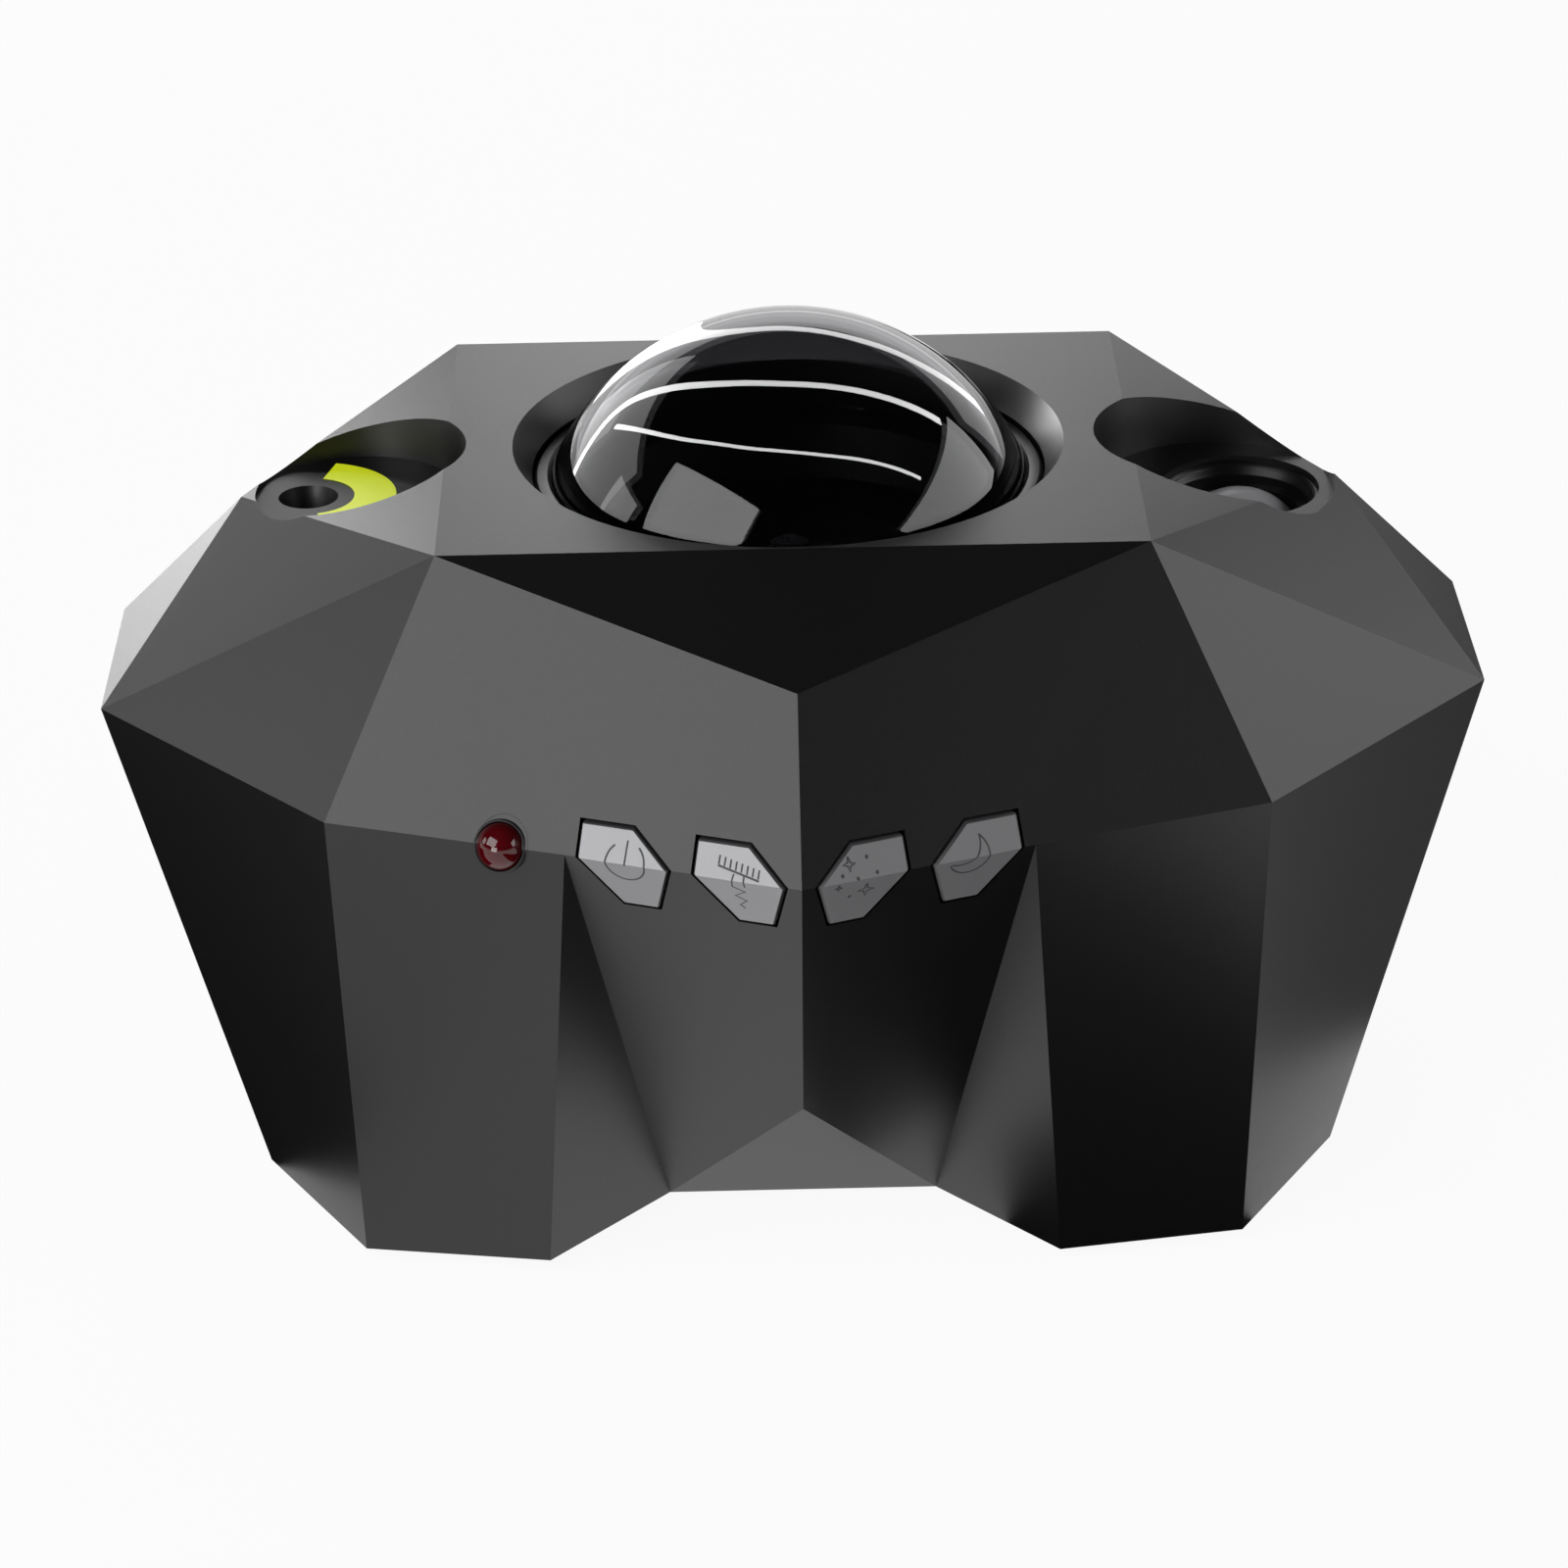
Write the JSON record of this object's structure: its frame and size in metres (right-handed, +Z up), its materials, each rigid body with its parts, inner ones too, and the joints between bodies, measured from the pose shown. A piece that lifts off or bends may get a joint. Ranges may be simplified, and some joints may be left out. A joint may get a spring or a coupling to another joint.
{
  "type": "planetarium projector",
  "caption": "Faceted desktop projector with a clear dome over a turning ripple lens, a recessed star laser, a recessed moon lens and push buttons.",
  "frame": {"origin": "on the surface that the feet stand on, under the middle of the casing", "axes": "+Z up, the buttons and the front ridge face -Y, the star laser is on the -X side and the moon lens on the +X side"},
  "size_m": [0.216, 0.1728, 0.1333],
  "materials": {
    "case_black": "fine satin moulded, nearly black",
    "cover_black": "matt moulded",
    "foot_rubber": "matt",
    "clear_dome": "clear polished acrylic",
    "ring_black": "semi-gloss",
    "button_silver": "silver-grey painted face on a black body",
    "receiver_red": "red tinted, glossy",
    "label_yellow": "plain yellow film, no wording",
    "window_clear": "clear",
    "lens_glass": "clear glass",
    "ripple_clear": "clear rippled acrylic",
    "gear_white": "natural nylon",
    "steel": "bright",
    "motor_steel": "plated can",
    "barrel_black": "anti-reflection black",
    "laser_brass": "turned",
    "board_green": "solder-resist green",
    "component_grey": "moulded packages",
    "led_yellow": "phosphor",
    "sink_aluminium": "extruded",
    "slide_film": "photographic film on glass",
    "chassis_grey": "moulded"
  },
  "bodies": {
    "casing": {"upper_shell": "case_black", "lower_shell": "case_black", "base_cover": "cover_black", "chassis_plate": "chassis_grey", "foot_left_back": "foot_rubber", "foot_left_front": "foot_rubber", "foot_right_back": "foot_rubber", "foot_right_front": "foot_rubber", "dome_cover": "clear_dome", "dome_ring": "ring_black", "ripple_shaft": "steel", "shaft_clip": "steel", "light_housing": "barrel_black", "ripple_motor": "motor_steel", "led_board": "sink_aluminium", "colour_leds": "led_yellow", "led_lenses": "window_clear", "heat_sink": "sink_aluminium", "laser_label": "label_yellow", "laser_window": "window_clear", "grating_motor": "motor_steel", "laser_holder": "barrel_black", "laser_module": "laser_brass", "moon_barrel": "barrel_black", "moon_lens": "lens_glass", "moon_slide": "slide_film", "slide_spacer": "barrel_black", "moon_condenser": "lens_glass", "moon_led_board": "board_green", "main_board": "board_green", "board_components": "component_grey", "board_screws": "steel", "power_socket": "component_grey", "power_switch": "component_grey", "light_switch": "component_grey", "star_switch": "component_grey", "moon_switch": "component_grey", "button_board_left": "board_green", "button_board_right": "board_green", "button_board_screws": "steel", "receiver_ring": "ring_black", "receiver_window": "receiver_red", "receiver_board": "board_green", "case_screws": "steel", "chassis_screws": "steel", "cover_screws": "steel"},
    "power_button": {"power_button": "button_silver"},
    "light_button": {"light_button": "button_silver"},
    "star_button": {"star_button": "button_silver"},
    "moon_button": {"moon_button": "button_silver"},
    "ripple_lens": {"ripple_gear": "gear_white", "ripple_disc": "ripple_clear"},
    "ripple_drive": {"ripple_pinion": "gear_white"},
    "grating_wheel": {"grating_gear": "gear_white", "grating_film": "slide_film"},
    "grating_drive": {"grating_pinion": "gear_white"}
  },
  "joints": [
    {"name": "power_press", "type": "slide", "parent": "casing", "child": "power_button", "axis": [0.3541, 0.9352, 0], "range_m": [0, 0.0007], "stiffness_N_per_m": 1000, "springref_m": -0.0004},
    {"name": "light_press", "type": "slide", "parent": "casing", "child": "light_button", "axis": [0.3541, 0.9352, 0], "range_m": [0, 0.0007], "stiffness_N_per_m": 1000, "springref_m": -0.0004},
    {"name": "star_press", "type": "slide", "parent": "casing", "child": "star_button", "axis": [-0.3541, 0.9352, 0], "range_m": [0, 0.0007], "stiffness_N_per_m": 1000, "springref_m": -0.0004},
    {"name": "moon_press", "type": "slide", "parent": "casing", "child": "moon_button", "axis": [-0.3541, 0.9352, 0], "range_m": [0, 0.0007], "stiffness_N_per_m": 1000, "springref_m": -0.0004},
    {"name": "ripple_spin", "type": "hinge", "parent": "casing", "child": "ripple_lens", "pos_m": [0, 0, 0.092], "axis": [0, 0, 1], "continuous": true},
    {"name": "ripple_pinion_spin", "type": "hinge", "parent": "casing", "child": "ripple_drive", "pos_m": [0, 0.0336, 0.092], "axis": [0, 0, 1], "continuous": true},
    {"name": "grating_spin", "type": "hinge", "parent": "casing", "child": "grating_wheel", "pos_m": [-0.0754, 0, 0.0875], "axis": [0, 0, 1], "continuous": true},
    {"name": "grating_pinion_spin", "type": "hinge", "parent": "casing", "child": "grating_drive", "pos_m": [-0.0598, 0, 0.0875], "axis": [0, 0, 1], "continuous": true}
  ],
  "couplings": [
    {"joint": "ripple_pinion_spin", "follows": "ripple_spin", "ratio": -6},
    {"joint": "grating_pinion_spin", "follows": "grating_spin", "ratio": -3.3333}
  ]
}
